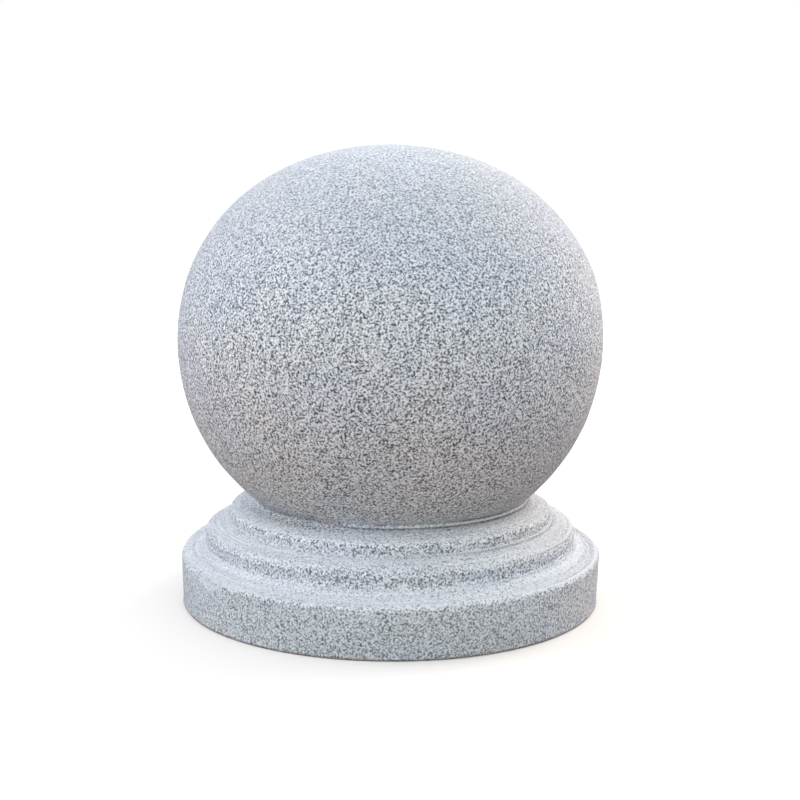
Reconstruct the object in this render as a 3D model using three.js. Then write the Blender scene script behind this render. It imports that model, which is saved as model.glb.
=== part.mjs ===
// A stone pier ball: a ball on a round moulded base, carved in one from a single block of granite.
// The whole piece is a solid of revolution about Z. It stands on its flat underside at Z = 0.
// Lengths are in millimetres, and +Z is up.
import * as THREE from "three";

// Ball: a full under half, and an upper half that the mason left a little flat
const ballDiameter = 400;
const crownRise = 183;
const underHalfDepth = 197;

// Collar and cut line where the ball grows out of the base
const collarDiameter = 265;
const collarHeight = 3.4;
const cutLineDepth = 1.6;
const cutLineHeight = 1.4;

// Upper ring, with a sloping top, a rounded arris and a short upright side
const upperRingDiameter = 307;
const upperRingFall = 6;
const upperRingRound = 5.5;
const upperRingSide = 5.5;

// Fine step under the upper ring
const stepWidth = 2;
const stepHeight = 2.4;

// Lower ring: a swelling shoulder, which slopes away at its top, over a short upright side
const lowerRingDiameter = 353;
const shoulderRise = 12;
const shoulderFall = 2.5;
const lowerRingSide = 5.5;

// Plinth: a thick disc, whose top sweeps up to the lower ring in a hollow curve
const plinthDiameter = 401;
const plinthThickness = 50;
const plinthRound = 5.5;
const plinthLean = 1;
const sweepRise = 11.5;
const footBevel = 1.5;

// How finely the round forms are divided
const sidesAround = 72;
const crownSteps = 16;
const underHalfSteps = 10;
const curveSteps = 5;

const stone = new THREE.MeshStandardMaterial({ color: 0xb9bfc6, roughness: 0.72, metalness: 0 });

// Points of an elliptical arc in the profile's plane, both ends included. Angles are in radians from outwards.
function arc(centreR, centreZ, radiusR, radiusZ, from, to, steps) {
  return Array.from({ length: steps + 1 }, (_, i) => {
    const angle = from + ((to - from) * i) / steps;
    return new THREE.Vector2(centreR + radiusR * Math.cos(angle), centreZ + radiusZ * Math.sin(angle));
  });
}

// Points of the curve that leaves one end towards a corner and reaches the other end from that corner.
function bend(start, corner, end, steps) {
  return new THREE.QuadraticBezierCurve(start, corner, end).getPoints(steps);
}

// The base's profile, from the middle of the underside up to the foot of the collar.
function baseProfile() {
  const plinthRadius = plinthDiameter / 2;
  const footRadius = plinthRadius - plinthLean;
  const lowerRingRadius = lowerRingDiameter / 2;
  const upperRingRadius = upperRingDiameter / 2;
  const cutLineRadius = collarDiameter / 2 - cutLineDepth;

  const lowerRingFoot = plinthThickness + sweepRise;
  const lowerRingTop = lowerRingFoot + lowerRingSide;
  const shoulderTop = lowerRingTop + shoulderRise;
  const upperRingFoot = shoulderTop + stepHeight;
  const roundFoot = upperRingFoot + upperRingSide;
  const ringTop = roundFoot + upperRingRound;
  const cutLineFoot = ringTop + upperRingFall;

  // The upper ring's round ends where a line from the foot of the cut line touches it.
  const ringRoundCentre = new THREE.Vector2(upperRingRadius - upperRingRound, roundFoot);
  const slope = new THREE.Vector2(cutLineRadius, cutLineFoot).sub(ringRoundCentre);
  const touchAngle = slope.angle() - Math.acos(upperRingRound / slope.length());

  const stepRadius = upperRingRadius + stepWidth;
  const roundStart = plinthRadius - plinthRound;
  const sweepCorner = new THREE.Vector2(lowerRingRadius, plinthThickness);
  const shoulderCorner = new THREE.Vector2(lowerRingRadius, shoulderTop - shoulderFall);

  return {
    top: cutLineFoot,
    points: [
      new THREE.Vector2(0, 0),
      new THREE.Vector2(footRadius - footBevel, 0),
      new THREE.Vector2(footRadius, footBevel),
      ...arc(roundStart, plinthThickness - plinthRound, plinthRound, plinthRound, 0, Math.PI / 2, curveSteps),
      ...bend(
        new THREE.Vector2(roundStart, plinthThickness),
        sweepCorner,
        new THREE.Vector2(lowerRingRadius, lowerRingFoot),
        curveSteps,
      ).slice(1),
      ...bend(
        new THREE.Vector2(lowerRingRadius, lowerRingTop),
        shoulderCorner,
        new THREE.Vector2(stepRadius, shoulderTop),
        curveSteps,
      ),
      new THREE.Vector2(stepRadius, upperRingFoot),
      new THREE.Vector2(upperRingRadius, upperRingFoot),
      ...arc(ringRoundCentre.x, ringRoundCentre.y, upperRingRound, upperRingRound, 0, touchAngle, curveSteps),
      new THREE.Vector2(cutLineRadius, cutLineFoot),
    ],
  };
}

// The ball's profile, from the top of the cut line over the collar and up to the crown.
function ballProfile(cutLineTop) {
  const ballRadius = ballDiameter / 2;
  const collarRadius = collarDiameter / 2;
  const collarTop = cutLineTop + collarHeight;
  const meetingAngle = -Math.acos(collarRadius / ballRadius);
  const widestLevel = collarTop - underHalfDepth * Math.sin(meetingAngle);
  const underHalf = arc(0, widestLevel, ballRadius, underHalfDepth, meetingAngle, 0, underHalfSteps);
  const crown = arc(0, widestLevel, ballRadius, crownRise, 0, Math.PI / 2, crownSteps).slice(1, -1);
  return [
    new THREE.Vector2(collarRadius - cutLineDepth, cutLineTop),
    new THREE.Vector2(collarRadius, cutLineTop),
    ...underHalf,
    ...crown,
    new THREE.Vector2(0, widestLevel + crownRise),
  ];
}

function pierBall() {
  const base = baseProfile();
  const profile = [...base.points, ...ballProfile(base.top + cutLineHeight)];
  const solid = new THREE.LatheGeometry(profile, sidesAround);
  solid.rotateX(Math.PI / 2);
  const mesh = new THREE.Mesh(solid, stone);
  mesh.name = "pier_ball";
  return mesh;
}

const model = new THREE.Group();
model.add(pierBall());

export default model;
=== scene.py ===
import math

import bpy
import numpy as np
from mathutils import Matrix, Vector


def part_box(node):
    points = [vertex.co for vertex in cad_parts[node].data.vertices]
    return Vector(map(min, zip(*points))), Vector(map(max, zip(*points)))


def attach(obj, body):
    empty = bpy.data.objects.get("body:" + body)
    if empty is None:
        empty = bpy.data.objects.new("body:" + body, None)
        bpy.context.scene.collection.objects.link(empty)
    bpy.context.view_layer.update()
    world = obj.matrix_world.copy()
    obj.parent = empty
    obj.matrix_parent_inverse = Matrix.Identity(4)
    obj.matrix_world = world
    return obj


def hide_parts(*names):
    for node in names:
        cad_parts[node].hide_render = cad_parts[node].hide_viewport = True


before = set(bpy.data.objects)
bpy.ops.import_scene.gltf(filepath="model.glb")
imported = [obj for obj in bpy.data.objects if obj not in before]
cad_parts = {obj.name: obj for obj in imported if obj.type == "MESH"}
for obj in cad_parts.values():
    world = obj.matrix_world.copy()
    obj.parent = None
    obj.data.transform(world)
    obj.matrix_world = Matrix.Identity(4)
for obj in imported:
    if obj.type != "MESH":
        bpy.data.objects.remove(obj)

bl_info = {
    "name": "Stone Pier Ball",
    "version": (1, 0, 0),
    "blender": (4, 5, 0),
    "location": "View3D > Sidebar > Pier Ball",
    "description": "Builds a granite pier ball on its moulded base, and the plain studio round it",
    "category": "Object",
}

MM = 0.001
GRAIN_SIZE = 1.9 * MM
CAD_LOW, CAD_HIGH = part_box("pier_ball")
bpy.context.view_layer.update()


class PierBallSizes(bpy.types.PropertyGroup):
    """Sizes of the ball and its base, as the mason sets them out."""

    ball_diameter: bpy.props.FloatProperty(
        name="Ball diameter", description="Width of the ball at its widest level",
        default=400 * MM, min=100 * MM, unit="LENGTH", subtype="DISTANCE")
    crown_rise: bpy.props.FloatProperty(
        name="Crown rise", description="Height of the crown over the ball's widest level",
        default=183 * MM, min=50 * MM, unit="LENGTH", subtype="DISTANCE")
    under_half_depth: bpy.props.FloatProperty(
        name="Under half depth", description="Depth that the ball's under half would have if it were whole",
        default=197 * MM, min=50 * MM, unit="LENGTH", subtype="DISTANCE")
    collar_diameter: bpy.props.FloatProperty(
        name="Collar diameter", description="Width of the thin collar under the ball",
        default=265 * MM, min=50 * MM, unit="LENGTH", subtype="DISTANCE")
    upper_ring_diameter: bpy.props.FloatProperty(
        name="Upper ring diameter", description="Width of the ring next to the ball",
        default=307 * MM, min=50 * MM, unit="LENGTH", subtype="DISTANCE")
    lower_ring_diameter: bpy.props.FloatProperty(
        name="Lower ring diameter", description="Width of the swelling ring over the plinth",
        default=353 * MM, min=50 * MM, unit="LENGTH", subtype="DISTANCE")
    plinth_diameter: bpy.props.FloatProperty(
        name="Plinth diameter", description="Width of the thick disc that the piece stands on",
        default=CAD_HIGH.x - CAD_LOW.x, min=50 * MM, unit="LENGTH", subtype="DISTANCE")
    plinth_thickness: bpy.props.FloatProperty(
        name="Plinth thickness", description="Height of the disc up to its flat top",
        default=50 * MM, min=10 * MM, unit="LENGTH", subtype="DISTANCE")
    columns: bpy.props.IntProperty(
        name="Columns", description="How many columns of faces go round the piece",
        default=336, min=48)


class GraniteLook(bpy.types.PropertyGroup):
    """Colours and grain of the granite."""

    light_grain: bpy.props.FloatVectorProperty(
        name="Light grain", description="Colour of the feldspar and quartz",
        default=(0.79, 0.78, 0.76), min=0, max=1, size=3, subtype="COLOR")
    grey_grain: bpy.props.FloatVectorProperty(
        name="Grey grain", description="Colour of the greyer quartz between the light grains",
        default=(0.49, 0.50, 0.525), min=0, max=1, size=3, subtype="COLOR")
    dark_fleck: bpy.props.FloatVectorProperty(
        name="Dark fleck", description="Colour of the mica flecks",
        default=(0.062, 0.067, 0.082), min=0, max=1, size=3, subtype="COLOR")
    bruise: bpy.props.FloatVectorProperty(
        name="Bruise", description="Colour of the stone where the tool has crushed its face",
        default=(0.58, 0.585, 0.593), min=0, max=1, size=3, subtype="COLOR")
    # Colour of pale edges: rubbed wear with painted highlights where arrises and lips catch the light, and
    # painted light on the ball just above the collar
    rubbed_edge: bpy.props.FloatVectorProperty(
        name="Rubbed edge", description="Colour of the stone where an edge has been rubbed pale",
        default=(0.66, 0.665, 0.67), min=0, max=1, size=3, subtype="COLOR")
    dust: bpy.props.FloatVectorProperty(
        name="Dust", description="Colour of the thin film of stone dust that dulls the grain",
        default=(0.38, 0.40, 0.425), min=0, max=1, size=3, subtype="COLOR")
    # Painted cooler light on the plinth's side: a tint that takes back the warm glow of the ground light there
    damp: bpy.props.FloatVectorProperty(
        name="Damp", description="Tint of the faint damp film on the plinth's side",
        default=(0.922, 0.99, 0.99), min=0, max=1, size=3, subtype="COLOR")
    # Tint of the painted warm light round the neck and on the rings at the right
    weathered: bpy.props.FloatVectorProperty(
        name="Weathered", description="Tint of the faint warm film round the neck, where rain seldom reaches",
        default=(1.0, 0.955, 0.88), min=0, max=1, size=3, subtype="COLOR")
    fresh_break: bpy.props.FloatVectorProperty(
        name="Fresh break", description="Colour of the stone where an arris has been knocked off",
        default=(0.525, 0.52, 0.508), min=0, max=1, size=3, subtype="COLOR")
    # Colour of the painted shade: a painted contact shadow along the foot, and painted shadow in the grooves and
    # under the ball
    soil: bpy.props.FloatVectorProperty(
        name="Soil", description="Colour of the dirt in the cut line and along the foot",
        default=(0.085, 0.085, 0.09), min=0, max=1, size=3, subtype="COLOR")
    stain: bpy.props.FloatVectorProperty(
        name="Stain", description="Colour of the small rusty stain near the foot",
        default=(0.42, 0.35, 0.29), min=0, max=1, size=3, subtype="COLOR")
    grain_size: bpy.props.FloatProperty(
        name="Grain size", description="Width of the stone's grains",
        default=GRAIN_SIZE, min=0.5 * MM, unit="LENGTH", subtype="DISTANCE")


class StageLook(bpy.types.PropertyGroup):
    """Floor, light and camera round the piece."""

    floor_colour: bpy.props.FloatVectorProperty(
        name="Floor colour", description="Colour of the plain floor",
        default=(0.815, 0.765, 0.71), min=0, max=1, size=3, subtype="COLOR")
    sky_colour: bpy.props.FloatVectorProperty(
        name="Sky colour", description="Broad band of light round the upper part of the studio",
        default=(0.84, 0.91, 0.965), min=0, max=1, size=3, subtype="COLOR")
    horizon_colour: bpy.props.FloatVectorProperty(
        name="Horizon colour", description="Fainter light just over the level of the floor",
        default=(0.09, 0.115, 0.163), min=0, max=1, size=3, subtype="COLOR")
    ground_colour: bpy.props.FloatVectorProperty(
        name="Ground colour", description="Light that comes back from the ground",
        default=(0.28, 0.155, 0.08), min=0, max=1, size=3, subtype="COLOR")
    world_strength: bpy.props.FloatProperty(
        name="World strength", description="Strength of the light from all round",
        default=3.17, min=0)
    left_power: bpy.props.FloatProperty(
        name="Left light", description="Power of the soft light at the left, in watts",
        default=17, min=0)
    right_power: bpy.props.FloatProperty(
        name="Right light", description="Power of the soft light behind at the right, in watts",
        default=36.5, min=0)
    front_power: bpy.props.FloatProperty(
        name="Front light", description="Power of the soft light low in front, in watts",
        default=7.6, min=0)


# Fixed small sizes of the mouldings, in metres
COLLAR_HEIGHT = 3.4 * MM
CUT_LINE_DEPTH = 1.6 * MM
CUT_LINE_HEIGHT = 1.4 * MM
UPPER_RING_FALL = 6 * MM
UPPER_RING_ROUND = 5.5 * MM
UPPER_RING_SIDE = 5.5 * MM
STEP_WIDTH = 2 * MM
STEP_HEIGHT = 2.4 * MM
SHOULDER_RISE = 12 * MM
SHOULDER_FALL = 2.5 * MM
LOWER_RING_SIDE = 5.5 * MM
PLINTH_ROUND = 5.5 * MM
PLINTH_LEAN = 1 * MM
SWEEP_RISE = 11.5 * MM
FOOT_BEVEL = 1.5 * MM

# Spacing of the points that the profile is drawn with, and of the rows of faces in its stretches
DRAWN_SPACING = 0.2 * MM
BALL_ROW = 5.6 * MM
CUT_ROW = 0.4 * MM
SIDE_ROW = 0.55 * MM
MOULDING_ROW = 0.8 * MM
PLINTH_ROW = 2.1 * MM
UNDERSIDE_ROW = 25 * MM

# How far an arris is rounded where it was left crisp and where it was rubbed down, and how many times that
# far the bell that rounds it is carried out
CRISP_ROUNDING = 0.4 * MM
WORN_ROUNDING = 2.4 * MM
BELL_ENDS = 3

# Lines cut round the mouldings, and broader places that were dressed low or, with a depth below 0, left
# proud: stretch of the profile, distance down it, first and last turn and fade in degrees, depth, half of
# the width, and how much painted shadow darkens the groove. Turn 0 is the front, and +90 is the right side.
TOOL_LINES = (
    ("collar", 0.0 * MM, -10, 24, 16, 0.4 * MM, 0.45 * MM, 0.25),
    ("collar", 0.0 * MM, 24, 84, 16, 0.8 * MM, 0.55 * MM, 0.75),
    ("cut line", 1.9 * MM, -22, 86, 14, 0.0 * MM, 0.5 * MM, 0.18),
    ("upper ring top", 0.0 * MM, -8, 86, 18, 1.0 * MM, 0.6 * MM, 0.0),
    ("upper ring top", 0.0 * MM, -25, -8, 12, 0.5 * MM, 0.6 * MM, 0.1),
    ("upper ring top", 0.5 * MM, 40, 92, 16, 0.3 * MM, 0.5 * MM, 0.5),
    ("upper ring top", 1.5 * MM, -98, -22, 30, 1.6 * MM, 5.0 * MM, 0.0),
    ("upper ring top", 13.0 * MM, 12, 34, 12, 0.5 * MM, 0.7 * MM, 0.1),
    ("step", 4.3 * MM, 24, 92, 20, 1.0 * MM, 0.35 * MM, 0.55),
    ("step", 4.3 * MM, -70, 14, 30, 0.3 * MM, 0.8 * MM, 0.1),
    ("shoulder", 13.0 * MM, -165, -90, 30, 2.5 * MM, 6.0 * MM, 0.0),
    ("shoulder", 2.5 * MM, -88, -34, 18, 0.7 * MM, 0.7 * MM, 0.0),
    ("shoulder", 6.0 * MM, -80, -20, 24, 0.5 * MM, 0.7 * MM, 0.0),
    ("shoulder", 10.5 * MM, -88, -40, 18, 0.7 * MM, 0.8 * MM, 0.06),
    ("upper ring side", 0.8 * MM, 70, 98, 12, 0.3 * MM, 0.6 * MM, 0.35),
    ("shoulder", 21.0 * MM, 50, 92, 14, 0.7 * MM, 0.5 * MM, 0.4),
    ("lower ring side", 0.8 * MM, -90, -54, 14, 0.5 * MM, 0.6 * MM, 0.04),
    ("lower ring side", 3.4 * MM, -90, -48, 16, 0.5 * MM, 0.7 * MM, 0.05),
    ("lower ring side", 5.0 * MM, 48, 96, 14, 0.6 * MM, 0.6 * MM, 0.08),
    ("sweep", 3.0 * MM, -88, -50, 16, 0.7 * MM, 0.8 * MM, 0.02),
    ("sweep", 11.0 * MM, 150, 230, 40, 0.5 * MM, 0.9 * MM, 0.0),
    ("upper ring top", 18.0 * MM, 102, 170, 18, 2.6 * MM, 4.0 * MM, 0.0),
    ("plinth round", 3.0 * MM, -165, -94, 30, -1.4 * MM, 5.0 * MM, 0.0),
    ("plinth round", 3.5 * MM, 80, 165, 30, -1.0 * MM, 4.0 * MM, 0.0),
)

# Edges drawn pale, partly rubbed wear and partly a painted highlight where an arris or lip catches the light:
# stretch, distance, first and last turn, fade, half of the width, and how pale
PALE_LINES = (
    ("collar", 2.0 * MM, -10, 24, 16, 0.6 * MM, 0.3),
    ("collar", 2.0 * MM, 24, 84, 16, 0.7 * MM, 0.6),
    ("step", 2.3 * MM, 18, 92, 16, 0.7 * MM, 0.45),
    ("shoulder", 4.3 * MM, -88, -30, 18, 0.5 * MM, 0.25),
    ("shoulder", 8.4 * MM, -84, -34, 18, 0.5 * MM, 0.25),
    ("shoulder", 13.0 * MM, -76, -36, 16, 0.8 * MM, 0.2),
    ("sweep", 5.0 * MM, -84, -44, 18, 0.5 * MM, 0.2),
    ("shoulder", 19.2 * MM, 50, 92, 14, 0.6 * MM, 0.45),
    ("plinth round", 2.4 * MM, 36, 96, 16, 0.8 * MM, 0.5),
)

# Where the plinth's arris was knocked off: turn and half width in degrees, distance down from the arris's
# start, half height, and depth
SPALLS = (
    (-55, 8, 6.5 * MM, 8.0 * MM, 2.4 * MM),
    (-46, 7, 3.0 * MM, 4.5 * MM, 1.2 * MM),
)

# How ragged a knocked place is, how soon it is fully deep and fully fresh, and how fresh it looks
SPALL_RAGGEDNESS = 0.2
SPALL_STEEPNESS = 1.6
FRESH_STEEPNESS = 2.5
FRESH_STRENGTH = 0.85

# Where the ball is out of true: turn and lift of the place in degrees, its reach in degrees, and how far it
# stands out
SWELLS = (
    (0, 90, 22, -2.4 * MM),
    (-90, 30, 15, 2.4 * MM),
    (90, 22, 9, 1.1 * MM),
    (90, -4, 14, -1.3 * MM),
    (-90, -43, 11, -1.0 * MM),
    (90, -43, 11, -1.0 * MM),
)

# How much tighter the plinth was cut at the left, how much its right side leans in more at the foot, and
# the first and last turn and fade of both in degrees
LEFT_TRIM = 1.4 * MM
LEFT_TRIM_TURNS = (-115, -55, 50)
RIGHT_LEAN = 1.2 * MM
RIGHT_LEAN_TURNS = (60, 120, 40)

# How worn the mouldings are: stretches and the fade between them, worn share, and the first and last turn
# and fade of the side that was left crisp
NECK = (("collar", "cut line", "upper ring top"), 1.2 * MM)
WEAR = (
    (NECK, 1.0, (-22, 100, 18)),
    ((("upper ring round", "upper ring side", "step"), 1.2 * MM), 0.75, (-5, 95, 40)),
    ((("shoulder", "lower ring side", "sweep"), 1.2 * MM), 0.6, (30, 95, 30)),
    ((("plinth round",), 3.0 * MM), 0.35, (20, 110, 30)),
)

# Where and how much crisper the neck is at the back than at the left
BACK_TURNS = (150, 250, 60)
BACK_CRISPNESS = 0.3

# Random waves: shortest and longest, how many, and the seed of their draws
BROAD_WAVES = (110 * MM, 320 * MM, 24, 3)
CLOSE_WAVES = (18 * MM, 60 * MM, 60, 5)
CHIP_WAVES = (5 * MM, 16 * MM, 80, 11)
SPALL_WAVES = (6 * MM, 20 * MM, 60, 13)
WANDER_WAVES = (18 * MM, 90 * MM, 30, 17)
MOTTLE_WAVES = (12 * MM, 50 * MM, 40, 7)

# Unevenness of hand work: its broad and close parts, the share of it that the base has, how far a tool line
# wanders, and how high a wave is cut off as a chip of the edge and how deep the chip is
BROAD_UNEVENNESS = 0.45 * MM
CLOSE_UNEVENNESS = 0.10 * MM
BASE_UNEVENNESS = 0.6
LINE_WANDER = 0.25 * MM
CHIP_LEVEL = 1.5
CHIP_DEPTH = 0.9 * MM

# Fades between the large parts of the piece, and round the edges that chip
PART_FADE = 2 * MM
EDGE_FADE = 1.5 * MM


def arc(centre, radii, start, end):
    """Points of an elliptical arc: the centre plus the radii times the cosine and sine of the angle."""
    count = max(3, int(abs(end - start) * max(radii) / DRAWN_SPACING))
    angle = np.linspace(start, end, count)
    return np.stack([centre[0] + radii[0] * np.cos(angle), centre[1] + radii[1] * np.sin(angle)], axis=1)


def bend(start, corner, end):
    """Points of a curve that leaves start towards corner and reaches end from it: a weighted mean of them."""
    start, corner, end = np.array(start), np.array(corner), np.array(end)
    length = np.linalg.norm(corner - start) + np.linalg.norm(end - corner)
    t = np.linspace(0, 1, max(3, int(length / DRAWN_SPACING)))[:, None]
    return (1 - t) ** 2 * start + 2 * t * (1 - t) * corner + t ** 2 * end


def straight(start, end):
    """Points of a straight line: a mean of its two ends, whose weight moves from one to the other."""
    start, end = np.array(start), np.array(end)
    t = np.linspace(0, 1, max(3, int(np.linalg.norm(end - start) / DRAWN_SPACING)))[:, None]
    return start + t * (end - start)


def drawn_profile(sizes):
    """Stretches of the profile from the crown to the middle of the underside.

    Each has its name, the spacing of its rows, and its points as radii and heights.
    """
    ball_radius = sizes.ball_diameter / 2
    collar_radius = sizes.collar_diameter / 2
    cut_radius = collar_radius - CUT_LINE_DEPTH
    upper_radius = sizes.upper_ring_diameter / 2
    step_radius = upper_radius + STEP_WIDTH
    lower_radius = sizes.lower_ring_diameter / 2
    plinth_radius = sizes.plinth_diameter / 2
    foot_radius = plinth_radius - PLINTH_LEAN
    plinth_top = sizes.plinth_thickness

    lower_foot = plinth_top + SWEEP_RISE
    lower_top = lower_foot + LOWER_RING_SIDE
    shoulder_top = lower_top + SHOULDER_RISE
    upper_foot = shoulder_top + STEP_HEIGHT
    round_foot = upper_foot + UPPER_RING_SIDE
    cut_foot = round_foot + UPPER_RING_ROUND + UPPER_RING_FALL
    cut_top = cut_foot + CUT_LINE_HEIGHT
    collar_top = cut_top + COLLAR_HEIGHT
    meeting = -math.acos(collar_radius / ball_radius)
    widest = collar_top - sizes.under_half_depth * math.sin(meeting)

    round_centre = np.array([upper_radius - UPPER_RING_ROUND, round_foot])
    slope = np.array([cut_radius, cut_foot]) - round_centre
    touch = math.atan2(slope[1], slope[0]) - math.acos(UPPER_RING_ROUND / np.linalg.norm(slope))
    ring_round = arc(round_centre, (UPPER_RING_ROUND, UPPER_RING_ROUND), touch, 0)
    arris_centre = (plinth_radius - PLINTH_ROUND, plinth_top - PLINTH_ROUND)

    return [
        ("crown", BALL_ROW, arc((0, widest), (ball_radius, sizes.crown_rise), math.pi / 2, 0)),
        ("under half", BALL_ROW, arc((0, widest), (ball_radius, sizes.under_half_depth), 0, meeting)),
        ("collar", CUT_ROW, straight((collar_radius, collar_top), (collar_radius, cut_top))),
        ("cut line", CUT_ROW, np.concatenate([
            straight((collar_radius, cut_top), (cut_radius, cut_top)),
            straight((cut_radius, cut_top), (cut_radius, cut_foot))])),
        ("upper ring top", MOULDING_ROW, straight((cut_radius, cut_foot), ring_round[0])),
        ("upper ring round", MOULDING_ROW, ring_round),
        ("upper ring side", SIDE_ROW, straight((upper_radius, round_foot), (upper_radius, upper_foot))),
        ("step", CUT_ROW, np.concatenate([
            straight((upper_radius, upper_foot), (step_radius, upper_foot)),
            straight((step_radius, upper_foot), (step_radius, shoulder_top))])),
        ("shoulder", MOULDING_ROW, bend(
            (step_radius, shoulder_top), (lower_radius, shoulder_top - SHOULDER_FALL),
            (lower_radius, lower_top))),
        ("lower ring side", SIDE_ROW, straight((lower_radius, lower_top), (lower_radius, lower_foot))),
        ("sweep", MOULDING_ROW, bend(
            (lower_radius, lower_foot), (lower_radius, plinth_top), (arris_centre[0], plinth_top))),
        ("plinth round", MOULDING_ROW, arc(arris_centre, (PLINTH_ROUND, PLINTH_ROUND), math.pi / 2, 0)),
        ("plinth side", PLINTH_ROW, straight((plinth_radius, arris_centre[1]), (foot_radius, FOOT_BEVEL))),
        ("foot bevel", CUT_ROW, straight((foot_radius, FOOT_BEVEL), (foot_radius - FOOT_BEVEL, 0))),
        ("underside", UNDERSIDE_ROW, straight((foot_radius - FOOT_BEVEL, 0), (0, 0))),
    ]


def rounded(values, reach):
    """Each row of values moved to the bell-shaped mean of its neighbours along the profile."""
    count = int(BELL_ENDS * reach / DRAWN_SPACING)
    weight = np.exp(-0.5 * (np.arange(-count, count + 1) * DRAWN_SPACING / reach) ** 2)
    padded = np.concatenate([
        2 * values[:1] - values[count:0:-1], values, 2 * values[-1:] - values[-2:-count - 2:-1]])
    columns = [np.convolve(column, weight / weight.sum(), mode="valid") for column in padded.T]
    return np.stack(columns, axis=1)


class Profile:
    """The profile read at the rows of faces: its crisp and worn shapes, outward normals and stretches."""

    def __init__(self, sizes):
        stretches = drawn_profile(sizes)
        self.widest = stretches[0][2][-1, 1]
        names = np.concatenate([[name] * len(points) for name, _, points in stretches])
        spacing = np.concatenate([[row] * len(points) for _, row, points in stretches])
        points = np.concatenate([points for _, _, points in stretches])

        steps = np.linalg.norm(np.diff(points, axis=0), axis=1)
        rows_so_far = np.concatenate([[0], np.cumsum(steps / spacing[1:])])
        wanted = np.linspace(0, rows_so_far[-1], int(rows_so_far[-1]) + 1)
        self.index = np.interp(wanted, rows_so_far, np.arange(len(points)))
        self.names = names

        # Where the neck is worn, the ball runs straight down to the ring with no collar.
        joined = points.copy()
        neck = np.isin(names, ["collar", "cut line"])
        below = (points[neck, 1] - self.widest) / sizes.under_half_depth
        joined[neck, 0] = sizes.ball_diameter / 2 * np.sqrt(1 - below ** 2)
        self.crisp = self.at_rows(rounded(points, CRISP_ROUNDING))
        self.worn = self.at_rows(rounded(joined, WORN_ROUNDING))
        for shape in (self.crisp, self.worn):
            shape[[0, -1], 0] = 0
            shape[:, 1] = np.maximum(shape[:, 1], 0)

        along = np.gradient(rounded(points, WORN_ROUNDING), axis=0)
        outward = np.stack([-along[:, 1], along[:, 0]], axis=1)
        outward /= np.linalg.norm(outward, axis=1)[:, None]
        self.outward = self.at_rows(outward)
        self.upward = self.outward[:, 1:]
        self.drawn_length = np.concatenate([[0], np.cumsum(steps)])
        self.length = self.at_rows(self.drawn_length[:, None])

    def at_rows(self, values):
        """Values given at the drawn points, read at the rows of faces in between."""
        drawn = np.arange(len(values))
        return np.stack([np.interp(self.index, drawn, column) for column in values.T], axis=1)

    def zone(self, names, fade):
        """1 on the rows of the named stretches and 0 elsewhere, with a bell-shaped fade between."""
        inside = np.isin(self.names, names).astype(float)[:, None]
        return np.clip(self.at_rows(rounded(inside, fade)), 0, 1)

    def past(self, name):
        """How far each row lies down the profile from the start of the named stretch."""
        return self.length - self.drawn_length[np.argmax(self.names == name)]

    def line(self, name, distance, half_width):
        """A bell-shaped 1 at a distance down the named stretch, and 0 away from it."""
        return np.exp(-0.5 * ((self.past(name) - distance) / half_width) ** 2)


def eased(value, low, high):
    """0 at low and 1 at high, with a smooth start and end: three squares less two cubes of the way between.

    With low above high it eases out in place of in.
    """
    t = np.clip((value - low) / (high - low), 0, 1)
    return t * t * (3 - 2 * t)


def turned_away(turn, middle):
    """How many degrees each turn lies from the middle, from -180 to 180."""
    return (np.degrees(turn) - middle + 180) % 360 - 180


def window(turn, start, end, fade):
    """1 for turns between start and end and 0 elsewhere, easing over the fade at each end, in degrees."""
    middle, half = (start + end) / 2, (end - start) / 2
    return 1 - eased(np.abs(turned_away(turn, middle)), half - fade / 2, half + fade / 2)


def waves(points, shortest, longest, count, seed):
    """A smooth random height with a spread of 1: a sum of sine waves that cross the stone in all directions."""
    random = np.random.default_rng(seed)
    direction = random.normal(size=(count, 3))
    direction /= np.linalg.norm(direction, axis=1)[:, None]
    length = shortest * (longest / shortest) ** random.random(count)
    phase = random.random(count) * 2 * np.pi
    strength = length / np.sqrt((length ** 2).sum() / 2)
    total = np.zeros(points.shape[:-1])
    for k in range(count):
        total += strength[k] * np.sin(2 * np.pi * (points @ direction[k]) / length[k] + phase[k])
    return total


def placed(shape, turn):
    """Points of the stone for radii and heights: the radius is turned about Z, with turn 0 at the front."""
    return np.stack([shape[..., 0] * np.sin(turn), -shape[..., 0] * np.cos(turn), shape[..., 1]], axis=-1)


def swells(points, centre):
    """How far the ball is out of true: for each row of the table, its height times a bell of the angle to it."""
    direction = points - np.array([0, 0, centre])
    direction /= np.maximum(np.linalg.norm(direction, axis=-1, keepdims=True), MM)
    total = np.zeros(points.shape[:-1])
    for turn, lift, reach, height in SWELLS:
        turn, lift = math.radians(turn), math.radians(lift)
        axis = np.array([math.sin(turn) * math.cos(lift), -math.cos(turn) * math.cos(lift), math.sin(lift)])
        away = np.degrees(np.arccos(np.clip(direction @ axis, -1, 1)))
        total += height * np.exp(-0.5 * (away / reach) ** 2)
    return total


def tool_marks(profile, turn, wander):
    """Depth and painted groove shadow of the tool lines: for each line in the table, a bell across it, within
    its turns.
    """
    depth_there, groove_shade_there = 0, 0
    for name, distance, first, last, fade, depth, half_width, groove_shade in TOOL_LINES:
        mark = profile.line(name, distance + wander, half_width) * window(turn, first, last, fade)
        depth_there = depth_there + depth * mark
        groove_shade_there = groove_shade_there + groove_shade * mark
    return depth_there, groove_shade_there


def pale_edges(profile, turn, wander):
    """How pale the edges are, from rubbed wear and painted highlight: for each line in the table, a bell across
    it, within its turns.
    """
    return sum(
        pale * profile.line(name, distance + wander, half_width) * window(turn, first, last, fade)
        for name, distance, first, last, fade, half_width, pale in PALE_LINES)


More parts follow.
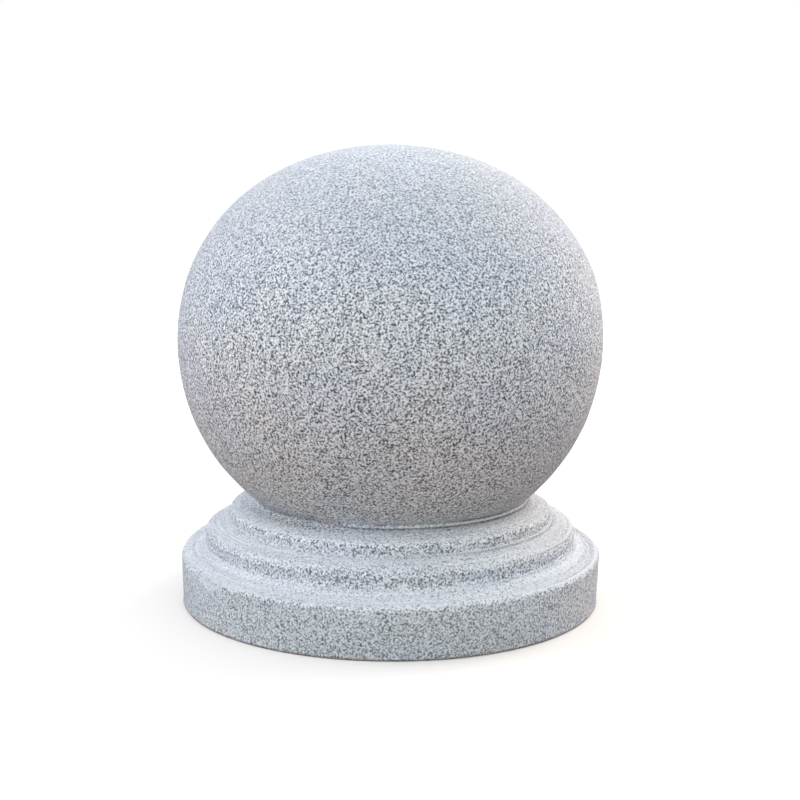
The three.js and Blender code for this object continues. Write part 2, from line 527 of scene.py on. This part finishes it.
def knocked_arris(profile, turn, rough):
    """Depth and freshness of the knocked arris: in each ellipse, 1 less the square of the way to its edge."""
    depth_there, fresh_there = 0, 0
    for middle, half_turn, distance, half_height, depth in SPALLS:
        across = (turned_away(turn, middle) / half_turn) ** 2
        down = ((profile.past("plinth round") - distance) / half_height) ** 2
        inside = np.clip(1 - across - down + SPALL_RAGGEDNESS * rough, 0, 1)
        depth_there = np.maximum(depth_there, depth * np.clip(SPALL_STEEPNESS * inside, 0, 1))
        fresh_there = np.maximum(fresh_there, np.clip(FRESH_STEEPNESS * inside, 0, 1))
    return depth_there, fresh_there


def worn_share(profile, turn):
    """How worn each place is, 0 to 1: the table's shares outside their crisp sides, less at the back's neck."""
    worn = sum(share * profile.zone(*part) * (1 - window(turn, *crisp)) for part, share, crisp in WEAR)
    return np.clip(worn - BACK_CRISPNESS * profile.zone(*NECK) * window(turn, *BACK_TURNS), 0, 1)


# Windows of turns, as first and last turn and fade in degrees: the left side, and both sides of the piece
LEFT_SIDE = ((-130, -34, 50),)
BOTH_SIDES = ((-120, -40, 50), (40, 120, 50))

# Stretches that are shaded alike, with the fade round them, and a line as its stretch, distance and half width
PLINTH_SIDE = (("plinth side",), 2 * MM)
UPPER_SIDE = (("upper ring side",), 2 * MM)
LOWER_SIDE = (("lower ring side",), 2 * MM)
UNDER_CUT_LINE = ("upper ring top", 2 * MM, 4 * MM)

# What lies on the stone, with the painted light and shade: strength, stretches or line, how far up the place
# faces, how high up the plinth it is, and its windows of turns. A range eases in from its first value to its
# second, and None is everywhere.
LAID_ON = {
    "ring top": ((0.94, (("upper ring top",), 1.5 * MM), (0.1, 0.9), None, None),),
    "ledges": (
        (1.0, (("step", "shoulder"), 1.5 * MM), (0.1, 0.9), None, None),
        (1.0, (("upper ring round",), 1.0 * MM), (0.35, 0.9), None, None),
        (1.0, (("plinth round",), 1.0 * MM), (0.2, 0.85), None, None),
        (1.1, (("sweep",), 1.5 * MM), (0.0, 0.5), None, None),
    ),
    "whitened": (
        (0.36, (("upper ring side", "lower ring side"), 1.5 * MM), None, None, LEFT_SIDE),
        (0.22, PLINTH_SIDE, None, None, None),
        (0.08, PLINTH_SIDE, None, (0.5, 0.85), None),
        (0.06, PLINTH_SIDE, None, None, LEFT_SIDE),
        (0.34, ("collar", -9 * MM, 8 * MM), None, None, ((-92, -38, 24),)),
    ),
    "dulled": (
        (0.08, PLINTH_SIDE, None, None, None),
        (0.04, PLINTH_SIDE, None, None, BOTH_SIDES),
        (0.24, UPPER_SIDE, None, None, None),
        (0.05, UPPER_SIDE, None, None, BOTH_SIDES),
        (0.28, LOWER_SIDE, None, None, None),
        (0.08, LOWER_SIDE, None, None, BOTH_SIDES),
        (-0.16, LOWER_SIDE, None, None, LEFT_SIDE),
        (0.41, (("crown",), 2 * MM), (0.2, 0.9), None, None),
    ),
    # Painted cooler light on the plinth's side
    "damp": ((1.0, PLINTH_SIDE, None, None, ((-130, 36, 60),)),),
    # Painted warm light on the ball's foot, the collar and the upper ring's top, and fainter down the rings
    "neck warm light": ((1.0, ("collar", -6 * MM, 20 * MM), None, None, None),),
    "ring warm light": (
        (0.5, (("upper ring round", "upper ring side"), 3 * MM), None, None, None),
        (0.28, (("step", "shoulder"), 3 * MM), None, None, None),
    ),
    # Painted light on the ball's shaded foot just above the collar, and paler upward faces of the sweep and
    # plinth round at the left front
    "rubbed_and_lit": (
        (0.35, ("collar", -5 * MM, 5 * MM), None, None, ((-24, 66, 24),)),
        (0.10, (("sweep", "plinth round"), 2 * MM), (0.1, 0.7), None, ((-66, 28, 40),)),
    ),
    # Painted shade: a painted contact shadow along the foot bevel, painted shadow in the step's corner, painted
    # shade under the ball at the worn neck on the left and on the upper ring's top next to the collar; and the
    # plinth's side darker towards the foot
    "painted_shade": (
        (0.8, (("foot bevel",), 0.7 * MM), None, None, None),
        (0.10, (("step",), 1 * MM), None, None, None),
        (0.08, (("step",), 1 * MM), None, None, ((-110, -54, 20),)),
        (0.24, ("collar", 7 * MM, 6 * MM), None, None, ((-72, -22, 24),)),
        (0.20, UNDER_CUT_LINE, None, None, ((-18, 84, 20),)),
        (0.14, UNDER_CUT_LINE, None, None, ((30, 56, 16),)),
        (0.08, PLINTH_SIDE, None, (0.5, 0.1), None),
        (0.09, PLINTH_SIDE, None, (0.8, 0.45), ((-25, 45, 40),)),
    ),
}

# Where the neck is worn, the upper ring's top is whitened only from here on down it, at these turns
WORN_NECK_TURNS = (-76, -14, 24)
WORN_NECK_REACH = (3 * MM, 15 * MM)

# How much ledges are whitened and how much more at both sides, how much pale edges with their painted highlights
# are, and the mottling
LEDGE_WHITENING = 0.63
SIDE_WHITENING = 0.08
EDGE_WHITENING = 0.8
MOTTLING = 0.08

# Where the painted warm light lies
WARM_LIGHT_TURNS = (12, 110, 40)


def laid_on(rows, profile, turn, height):
    """How much of it lies on each place: over its rows, the sum of strength times stretch or line and ranges."""
    total = 0
    for strength, part, facing, level, turns in rows:
        there = strength * (profile.line(*part) if len(part) == 3 else profile.zone(*part))
        if facing:
            there = there * eased(profile.upward, *facing)
        if level:
            there = there * eased(height, *level)
        if turns:
            there = there * sum(window(turn, *span) for span in turns)
        total = total + there
    return total


def surface_shades(profile, turn, place, groove_shade, fresh, wander, sizes):
    """How far each place is whitened by the tool and by painted highlights, dulled, tinted by painted cool and
    warm light, made pale by rubbing and painted light, darkened by painted shade, or broken, 0 to 1.

    Each is the sum of its rows in the table. Ledges are whitened more at both sides, and the upper ring's top
    only past the worn neck. What is whitened is mottled by random waves.
    """
    height = place[..., 2] / sizes.plinth_thickness
    laid = {name: laid_on(rows, profile, turn, height) for name, rows in LAID_ON.items()}
    sides = sum(window(turn, *span) for span in BOTH_SIDES)
    at_neck = window(turn, *WORN_NECK_TURNS) * (1 - eased(profile.past("upper ring top"), *WORN_NECK_REACH))
    ledges = laid["ring top"] * (1 - at_neck) + laid["ledges"]
    pale = pale_edges(profile, turn, wander)
    whitened = ledges * (LEDGE_WHITENING + SIDE_WHITENING * sides) + laid["whitened"] + EDGE_WHITENING * pale
    shades = {
        "whitened": whitened * (1 + MOTTLING * waves(place, *MOTTLE_WAVES)),
        "dulled": laid["dulled"],
        "damp": laid["damp"],
        "weathered": window(turn, *WARM_LIGHT_TURNS) * np.maximum(laid["neck warm light"], laid["ring warm light"]),
        "rubbed_and_lit": laid["rubbed_and_lit"] + pale,
        "painted_shade": laid["painted_shade"] + groove_shade,
        "fresh": FRESH_STRENGTH * fresh,
    }
    full = np.zeros(place.shape[:-1])
    return {name: np.clip(shade + full, 0, 1) for name, shade in shades.items()}


def closed_faces(rows, columns):
    """Faces of a grid that is joined to itself at its side and closed by one vertex at each end."""
    ring = np.arange(columns)
    following = (ring + 1) % columns
    start = 1 + np.arange(rows - 3)[:, None] * columns
    below = start + columns
    quads = np.stack([start + ring, below + ring, below + following, start + following], axis=-1)
    top = np.stack([np.zeros_like(ring), 1 + ring, 1 + following], axis=-1)
    last = 1 + (rows - 3) * columns
    bottom = np.stack([last + following, last + ring, np.full_like(ring, last + columns)], axis=-1)
    return quads.reshape(-1, 4).tolist() + top.tolist() + bottom.tolist()


def joined_ends(grid):
    """The values of a grid as one list, in which its first and last rows are a single value each."""
    inner = grid[1:-1].reshape(-1, *grid.shape[2:])
    return np.concatenate([grid[0, :1], inner, grid[-1, :1]])


def ball_surface(sizes):
    """Vertices and faces of the whole piece, and the shades of its surface.

    The profile is carried round the Z axis. In each column it is a mean of its crisp and worn shapes, weighted
    by how worn that side is, and is then moved along its outward normal by the unevenness of hand work.
    """
    profile = Profile(sizes)
    turn = (np.arange(sizes.columns) * 2 * np.pi / sizes.columns)[None, :]
    worn = worn_share(profile, turn)[..., None]
    shape = profile.crisp[:, None, :] * (1 - worn) + profile.worn[:, None, :] * worn
    place = placed(shape, turn)
    hoop = sizes.upper_ring_diameter / 2 * np.stack([np.sin(turn), -np.cos(turn), 0 * turn], axis=-1)
    wander = LINE_WANDER * waves(hoop, *WANDER_WAVES)

    bed = profile.zone(["foot bevel", "underside"], PART_FADE)
    ball = profile.zone(["crown", "under half"], PART_FADE)
    plinth = profile.zone(["plinth round", "plinth side"], PART_FADE)
    edges = profile.zone(["upper ring round", "plinth round", "foot bevel"], EDGE_FADE)
    uneven = BROAD_UNEVENNESS * waves(place, *BROAD_WAVES) + CLOSE_UNEVENNESS * waves(place, *CLOSE_WAVES)
    uneven *= (1 - bed) * (BASE_UNEVENNESS + (1 - BASE_UNEVENNESS) * ball)
    chips = np.clip(waves(place, *CHIP_WAVES) - CHIP_LEVEL, 0, 1)
    marks, groove_shade = tool_marks(profile, turn, wander)
    spall, fresh = knocked_arris(profile, turn, waves(place, *SPALL_WAVES))
    foot = np.clip(1 - place[..., 2] / sizes.plinth_thickness, 0, 1)
    trim = LEFT_TRIM * window(turn, *LEFT_TRIM_TURNS) + RIGHT_LEAN * foot * window(turn, *RIGHT_LEAN_TURNS)
    heights = uneven + ball * swells(place, profile.widest)
    heights -= marks + spall + CHIP_DEPTH * edges * chips + plinth * trim

    shape = shape + heights[..., None] * profile.outward[:, None, :]
    shape[..., 1] = np.maximum(shape[..., 1], 0)
    shape[[0, -1]] = shape[[0, -1]].mean(axis=1, keepdims=True) * np.array([0, 1])
    shades = surface_shades(profile, turn, place, groove_shade, fresh, wander, sizes)
    return (
        joined_ends(placed(shape, turn)),
        closed_faces(len(shape), sizes.columns),
        {name: joined_ends(shade) for name, shade in shades.items()},
    )


def make_piece(name, vertices, faces):
    """Puts the vertices and faces into a new smooth object at the origin."""
    mesh = bpy.data.meshes.new(name)
    mesh.from_pydata(vertices.tolist(), [], faces)
    mesh.shade_smooth()
    piece = bpy.data.objects.new(name, mesh)
    bpy.context.scene.collection.objects.link(piece)
    return piece


class NodeTree:
    """A short way to add linked nodes to a material, a world or a group."""

    def __init__(self, tree):
        self.tree = tree

    def add(self, kind, settings=None, **inputs):
        """Adds a node, sets its own settings and links or sets each named input."""
        node = self.tree.nodes.new(kind)
        for name, value in (settings or {}).items():
            setattr(node, name, value)
        for name, value in inputs.items():
            self.put(node, name.replace("_", " "), value)
        return node

    def put(self, node, name, value):
        """Links or sets one input, which is named by its label or its number."""
        socket = node.inputs[int(name)] if name.isdigit() else node.inputs[name]
        if isinstance(value, bpy.types.NodeSocket):
            self.tree.links.new(value, socket)
        else:
            socket.default_value = value

    def math(self, operation, *values):
        """The output of a Math node on one, two or three values."""
        node = self.tree.nodes.new("ShaderNodeMath")
        node.operation = operation
        for place, value in enumerate(values):
            self.put(node, str(place), value)
        return node.outputs[0]

    def ease(self, value, low, high, to_low=0.0, to_high=1.0):
        """The value carried from one range to another with a smooth start and end."""
        node = self.add("ShaderNodeMapRange", {"interpolation_type": "SMOOTHSTEP"})
        for name, given in (("Value", value), ("From Min", low), ("From Max", high),
                            ("To Min", to_low), ("To Max", to_high)):
            self.put(node, name, given)
        return node.outputs["Result"]

    def mix(self, factor, first, second, blend="MIX"):
        """A colour mixed from two by a factor."""
        node = self.add("ShaderNodeMix", {"data_type": "RGBA", "blend_type": blend})
        for place, value in ((0, factor), (6, first), (7, second)):
            self.put(node, str(place), value)
        return node.outputs[2]


def new_group(name, inputs, outputs):
    """A shader node group with named inputs and outputs: returns its tree, input node and output node."""
    tree = bpy.data.node_groups.new(name, "ShaderNodeTree")
    for label, kind, default in inputs:
        socket = tree.interface.new_socket(name=label, in_out="INPUT", socket_type=kind)
        if default is not None:
            socket.default_value = default
    for label, kind in outputs:
        tree.interface.new_socket(name=label, in_out="OUTPUT", socket_type=kind)
    nodes = NodeTree(tree)
    return nodes, nodes.add("NodeGroupInput"), nodes.add("NodeGroupOutput")


# Grain: the ranges of noise that the tone of the grains and the flecks are read from, how far the flecks'
# noise is moved from the grains' and how much finer it is, and how strong the flecks are
TONE_RANGE = (0.22, 0.69)
FLECK_RANGE = (0.27, 0.42)
FLECK_SHIFT = (0.37, 0.81, 0.53)
FLECK_FINENESS = 1.15
FLECK_STRENGTH = 0.9

# How much of a fleck still shows through a bruise
FLECK_HOLD = 0.65

# Detail of the broader noises
NOISE_DETAIL = 2.0

# Faint clouds of tint: width, range of noise, and the two tints
CLOUD_SIZE = 70 * MM
CLOUD_RANGE = (0.35, 0.65)
COOL_TINT = (0.965, 0.975, 1.0, 1)
WARM_TINT = (1.0, 0.985, 0.965, 1)

# The small stain: place, reach and strength
STAIN_PLACE = (-31 * MM, -197 * MM, 4 * MM)
STAIN_REACH = 5 * MM
STAIN_STRENGTH = 0.6

# Fine turning lines on the ledges: spacing, how fast they change along the turn, roughness and range of their
# noise, the least share of the bruise's colour in them, and how high they stand
TURNING_SPACING = 3.1 * MM
TURNING_STRETCH = 0.03
TURNING_ROUGHNESS = 0.65
TURNING_RANGE = (0.34, 0.64)
TURNING_LEAST = 0.3
TURNING_HEIGHT = 4.0

# Finish of the stone
BUMP_STRENGTH = 0.25
BUMP_DISTANCE = 0.4 * MM
STONE_ROUGHNESS = 0.8
STONE_SPECULAR = 0.3
SHEEN_WEIGHT = 0.08
SHEEN_ROUGHNESS = 0.6


def grain_group():
    """Granite grain: how light each grain is, where the mica flecks lie, and the height of the dressed face."""
    nodes, given, result = new_group(
        "granite_grain",
        [("Vector", "NodeSocketVector", None), ("Grain Size", "NodeSocketFloat", GRAIN_SIZE)],
        [("Tone", "NodeSocketFloat"), ("Fleck", "NodeSocketFloat"), ("Height", "NodeSocketFloat")])
    place = given.outputs["Vector"]
    scale = nodes.math("DIVIDE", 1.0, given.outputs["Grain Size"])
    grains = nodes.add("ShaderNodeTexNoise", Vector=place, Scale=scale, Detail=0.0)
    tone = nodes.add("ShaderNodeMapRange", Value=grains.outputs["Fac"])
    nodes.put(tone, "From Min", TONE_RANGE[0])
    nodes.put(tone, "From Max", TONE_RANGE[1])
    moved = nodes.add("ShaderNodeVectorMath", {"operation": "ADD"})
    nodes.put(moved, "0", place)
    nodes.put(moved, "1", FLECK_SHIFT)
    finer = nodes.math("MULTIPLY", scale, FLECK_FINENESS)
    specks = nodes.add("ShaderNodeTexNoise", Vector=moved.outputs[0], Scale=finer, Detail=0.0)
    fleck = nodes.ease(specks.outputs["Fac"], *FLECK_RANGE, 1.0, 0.0)
    height = nodes.math("SUBTRACT", tone.outputs["Result"], fleck)
    nodes.put(result, "Tone", tone.outputs["Result"])
    nodes.put(result, "Fleck", fleck)
    nodes.put(result, "Height", height)
    return nodes.tree


def turning_lines(nodes, place):
    """Fine uneven lines round the Z axis: noise that changes fast with the radius and slowly along the turn."""
    flat = nodes.add("ShaderNodeVectorMath", {"operation": "MULTIPLY"})
    nodes.put(flat, "0", place)
    nodes.put(flat, "1", (1, 1, 0))
    radius = nodes.add("ShaderNodeVectorMath", {"operation": "LENGTH"})
    nodes.put(radius, "0", flat.outputs[0])
    nearby = nodes.add("ShaderNodeVectorMath", {"operation": "SCALE"})
    nodes.put(nearby, "0", place)
    nodes.put(nearby, "Scale", TURNING_STRETCH)
    lifted = nodes.add("ShaderNodeCombineXYZ", X=radius.outputs["Value"])
    spread = nodes.add("ShaderNodeVectorMath", {"operation": "ADD"})
    nodes.put(spread, "0", lifted.outputs[0])
    nodes.put(spread, "1", nearby.outputs[0])
    lines = nodes.add("ShaderNodeTexNoise", Vector=spread.outputs[0], Scale=1 / TURNING_SPACING,
                      Detail=NOISE_DETAIL, Roughness=TURNING_ROUGHNESS)
    return lines.outputs["Fac"]


def granite_material(look):
    """Dressed granite: grain from its group, paler and quieter where the tool bruised it and where painted
    highlights lie, tinted by painted cool and warm light, darkened by painted shade, and almost matt.
    """
    material = bpy.data.materials.new("dressed_granite")
    material.use_nodes = True
    material.node_tree.nodes.clear()
    nodes = NodeTree(material.node_tree)
    shade = {
        name: nodes.add("ShaderNodeAttribute", {"attribute_name": name}).outputs["Fac"]
        for name in ("whitened", "dulled", "damp", "weathered", "rubbed_and_lit", "painted_shade", "fresh")
    }
    place = nodes.add("ShaderNodeTexCoord").outputs["Object"]
    grain = nodes.add("ShaderNodeGroup", {"node_tree": grain_group()})
    nodes.put(grain, "Vector", place)
    nodes.put(grain, "Grain Size", look.grain_size)
    tone, fleck = grain.outputs["Tone"], grain.outputs["Fleck"]

    # The lower half of the tone runs from dark to grey, and the upper half from grey to light.
    darker = nodes.mix(nodes.math("MULTIPLY", tone, 2.0), (*look.dark_fleck, 1), (*look.grey_grain, 1))
    lighter = nodes.mix(nodes.math("MULTIPLY_ADD", tone, 2.0, -1.0), darker, (*look.light_grain, 1))
    flecked = nodes.mix(nodes.math("MULTIPLY", fleck, FLECK_STRENGTH), lighter, (*look.dark_fleck, 1))
    clouds = nodes.add("ShaderNodeTexNoise", Vector=place, Scale=1 / CLOUD_SIZE, Detail=NOISE_DETAIL)
    tint = nodes.mix(nodes.ease(clouds.outputs["Fac"], *CLOUD_RANGE), COOL_TINT, WARM_TINT)
    tinted = nodes.mix(1.0, flecked, tint, "MULTIPLY")

    turning = turning_lines(nodes, place)
    streaks = nodes.ease(turning, *TURNING_RANGE, TURNING_LEAST, 1.0)
    worked = nodes.mix(streaks, (*look.dust, 1), (*look.bruise, 1))
    between_flecks = nodes.math("MULTIPLY_ADD", fleck, -FLECK_HOLD, 1.0)
    # The tool's bruise, with the painted highlights on pale edges, makes the stone paler and quieter
    bruise = nodes.math("MULTIPLY", shade["whitened"], between_flecks)
    colour = nodes.mix(shade["dulled"], tinted, (*look.dust, 1))
    # Painted cooler light: a tint on the plinth's side against the warm ground light
    colour = nodes.mix(shade["damp"], colour, (*look.damp, 1), "MULTIPLY")
    colour = nodes.mix(bruise, colour, worked)
    # Pale edges: rubbed wear, painted highlights along arrises and lips, and painted light just above the collar
    colour = nodes.mix(shade["rubbed_and_lit"], colour, (*look.rubbed_edge, 1))
    # Painted warm light round the neck and on the rings at the right
    colour = nodes.mix(shade["weathered"], colour, (*look.weathered, 1), "MULTIPLY")
    colour = nodes.mix(nodes.math("MULTIPLY", shade["fresh"], between_flecks), colour, (*look.fresh_break, 1))
    # Painted shade: painted contact shadow along the foot, and painted shadow in the grooves and under the ball
    colour = nodes.mix(shade["painted_shade"], colour, (*look.soil, 1))
    away = nodes.add("ShaderNodeVectorMath", {"operation": "DISTANCE"})
    nodes.put(away, "0", place)
    nodes.put(away, "1", STAIN_PLACE)
    stained = nodes.ease(away.outputs["Value"], 0, STAIN_REACH, STAIN_STRENGTH, 0.0)
    colour = nodes.mix(stained, colour, (*look.stain, 1))

    lines = nodes.math("MULTIPLY", nodes.math("MULTIPLY", turning, shade["whitened"]), TURNING_HEIGHT)
    relief = nodes.math("ADD", grain.outputs["Height"], lines)
    bump = nodes.add("ShaderNodeBump", Strength=BUMP_STRENGTH, Distance=BUMP_DISTANCE, Height=relief)
    shader = nodes.add(
        "ShaderNodeBsdfPrincipled", Base_Color=colour, Roughness=STONE_ROUGHNESS, Normal=bump.outputs["Normal"])
    shader.inputs["Specular IOR Level"].default_value = STONE_SPECULAR
    shader.inputs["Sheen Weight"].default_value = SHEEN_WEIGHT
    shader.inputs["Sheen Roughness"].default_value = SHEEN_ROUGHNESS
    nodes.add("ShaderNodeOutputMaterial", Surface=shader.outputs["BSDF"])
    return material


class PIERBALL_OT_carve_ball(bpy.types.Operator):
    """Carve the granite ball, its mouldings and its plinth in one piece"""

    bl_idname = "pierball.carve_ball"
    bl_label = "Carve pier ball"

    def execute(self, context):
        sizes, look = context.scene.pier_ball_sizes, context.scene.granite_look
        vertices, faces, shades = ball_surface(sizes)
        piece = make_piece("carved_pier_ball", vertices, faces)
        for name, values in shades.items():
            shade = piece.data.attributes.new(name, "FLOAT", "POINT")
            shade.data.foreach_set("value", values.astype(np.float32))
        piece.data.materials.append(granite_material(look))
        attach(piece, "root")
        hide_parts("pier_ball")
        return {"FINISHED"}


# Camera: how far off it stood, how far it looked down, how it was turned, and what it looked at
CAMERA_DISTANCE = 1.6
CAMERA_ELEVATION = math.radians(10.3)
CAMERA_ROLL = math.radians(0.35)
CAMERA_TARGET = Vector((8.6 * MM, 0, 191.4 * MM))

# Focal length and width of the film, in millimetres
CAMERA_LENS = 75.78
SENSOR_WIDTH = 36.0

# Floor: half of its width in metres, and its finish
FLOOR_HALF_WIDTH = 60.0
FLOOR_ROUGHNESS = 0.9
FLOOR_SPECULAR = 0.1

# Soft lights: their width and places in metres, and their colours
LIGHT_SIZE = 1.6
LEFT_LIGHT_PLACE = (-1.9, 0.0, 1.3)
RIGHT_LIGHT_PLACE = (1.6, 1.2, 1.1)
FRONT_LIGHT_PLACE = (-0.6, -1.5, -0.7)
LEFT_LIGHT_COLOUR = (0.87, 0.83, 0.96)
RIGHT_LIGHT_COLOUR = (1.0, 0.82, 0.74)
FRONT_LIGHT_COLOUR = (0.97, 0.95, 0.89)

# Levels of the light from all round, from 0 straight down to 1 straight up: where the glow of the ground has
# ended, where the horizon starts and is brightest, and where the sky is brightest
GLOW_END, HORIZON_START, HORIZON_FULL, SKY_FULL = 0.25, 0.425, 0.575, 0.75


def aimed(place, target, roll=0.0):
    """The turn and place of something at place that looks along its own -Z at target, rolled about that."""
    back = (place - target).normalized()
    right = Vector((0, 0, 1)).cross(back).normalized()
    up = back.cross(right)
    turned = Matrix((right, up, back)).transposed() @ Matrix.Rotation(roll, 3, "Z")
    return Matrix.Translation(place) @ turned.to_4x4()


def add_soft_light(name, place, power, colour):
    """A square area light at place, aimed at the middle of the piece."""
    light = bpy.data.lights.new(name, "AREA")
    light.shape = "SQUARE"
    light.size = LIGHT_SIZE
    light.energy = power
    light.color = colour
    holder = bpy.data.objects.new(name, light)
    holder.matrix_world = aimed(Vector(place), Vector((0, 0, CAD_HIGH.z / 2)))
    bpy.context.scene.collection.objects.link(holder)


def studio_world(stage):
    """Plain white for the camera, and as light a band of sky, a faint horizon and the glow of the ground."""
    world = bpy.data.worlds.new("studio")
    world.use_nodes = True
    world.node_tree.nodes.clear()
    nodes = NodeTree(world.node_tree)
    direction = nodes.add("ShaderNodeTexCoord").outputs["Generated"]
    height = nodes.add("ShaderNodeSeparateXYZ", Vector=direction).outputs["Z"]
    level = nodes.math("MULTIPLY_ADD", height, 0.5, 0.5)
    ramp = nodes.add("ShaderNodeValToRGB", Fac=level)
    stops = ramp.color_ramp.elements
    black = (0, 0, 0)
    stops[0].color, stops[1].color = (*stage.ground_colour, 1), (*black, 1)
    for place, colour in (
        (GLOW_END, black), (HORIZON_START, black),
        (HORIZON_FULL, stage.horizon_colour), (SKY_FULL, stage.sky_colour),
    ):
        stops.new(place).color = (*colour, 1)
    light = nodes.add("ShaderNodeBackground", Color=ramp.outputs["Color"], Strength=stage.world_strength)
    paper = nodes.add("ShaderNodeBackground", Color=(1, 1, 1, 1))
    seen = nodes.add("ShaderNodeLightPath").outputs["Is Camera Ray"]
    both = nodes.add("ShaderNodeMixShader", Fac=seen)
    nodes.put(both, "1", light.outputs[0])
    nodes.put(both, "2", paper.outputs[0])
    nodes.add("ShaderNodeOutputWorld", Surface=both.outputs[0])
    return world


def floor_material(stage):
    """A plain matt floor of one colour."""
    material = bpy.data.materials.new("plain_floor")
    material.use_nodes = True
    shader = material.node_tree.nodes["Principled BSDF"]
    shader.inputs["Base Color"].default_value = (*stage.floor_colour, 1)
    shader.inputs["Roughness"].default_value = FLOOR_ROUGHNESS
    shader.inputs["Specular IOR Level"].default_value = FLOOR_SPECULAR
    return material


class PIERBALL_OT_set_stage(bpy.types.Operator):
    """Lay the floor, hang the lights and stand the camera"""

    bl_idname = "pierball.set_stage"
    bl_label = "Set the stage"

    def execute(self, context):
        scene, stage = context.scene, context.scene.stage_look
        half = FLOOR_HALF_WIDTH
        corners = np.array([(-half, -half, 0), (half, -half, 0), (half, half, 0), (-half, half, 0)])
        floor = make_piece("studio_floor", corners, [[0, 1, 2, 3]])
        floor.data.materials.append(floor_material(stage))
        floor.visible_diffuse = False
        floor.visible_glossy = False
        floor.visible_shadow = False

        scene.world = studio_world(stage)
        add_soft_light("left_light", LEFT_LIGHT_PLACE, stage.left_power, LEFT_LIGHT_COLOUR)
        add_soft_light("right_light", RIGHT_LIGHT_PLACE, stage.right_power, RIGHT_LIGHT_COLOUR)
        add_soft_light("front_light", FRONT_LIGHT_PLACE, stage.front_power, FRONT_LIGHT_COLOUR)

        lens = bpy.data.cameras.new("camera")
        lens.lens = CAMERA_LENS
        lens.sensor_width = SENSOR_WIDTH
        camera = bpy.data.objects.new("camera", lens)
        away = Vector((0, -math.cos(CAMERA_ELEVATION), math.sin(CAMERA_ELEVATION)))
        camera.matrix_world = aimed(CAMERA_TARGET + CAMERA_DISTANCE * away, CAMERA_TARGET, CAMERA_ROLL)
        scene.collection.objects.link(camera)
        scene.camera = camera
        scene.view_settings.view_transform = "Standard"
        return {"FINISHED"}


class PIERBALL_PT_panel(bpy.types.Panel):
    """Buttons and sizes for the pier ball"""

    bl_idname = "PIERBALL_PT_panel"
    bl_label = "Stone Pier Ball"
    bl_space_type = "VIEW_3D"
    bl_region_type = "UI"
    bl_category = "Pier Ball"

    def draw(self, context):
        for operator in OPERATORS:
            self.layout.operator(operator.bl_idname)
        for group, settings in (
            (PierBallSizes, context.scene.pier_ball_sizes),
            (GraniteLook, context.scene.granite_look),
            (StageLook, context.scene.stage_look),
        ):
            box = self.layout.box()
            for name in group.__annotations__:
                box.prop(settings, name)


OPERATORS = (PIERBALL_OT_carve_ball, PIERBALL_OT_set_stage)
CLASSES = (PierBallSizes, GraniteLook, StageLook, *OPERATORS, PIERBALL_PT_panel)


def register():
    for cls in CLASSES:
        bpy.utils.register_class(cls)
    bpy.types.Scene.pier_ball_sizes = bpy.props.PointerProperty(type=PierBallSizes)
    bpy.types.Scene.granite_look = bpy.props.PointerProperty(type=GraniteLook)
    bpy.types.Scene.stage_look = bpy.props.PointerProperty(type=StageLook)


def unregister():
    del bpy.types.Scene.stage_look
    del bpy.types.Scene.granite_look
    del bpy.types.Scene.pier_ball_sizes
    for cls in reversed(CLASSES):
        bpy.utils.unregister_class(cls)


def main():
    register()
    bpy.ops.pierball.carve_ball()
    bpy.ops.pierball.set_stage()


if __name__ == "__main__":
    main()
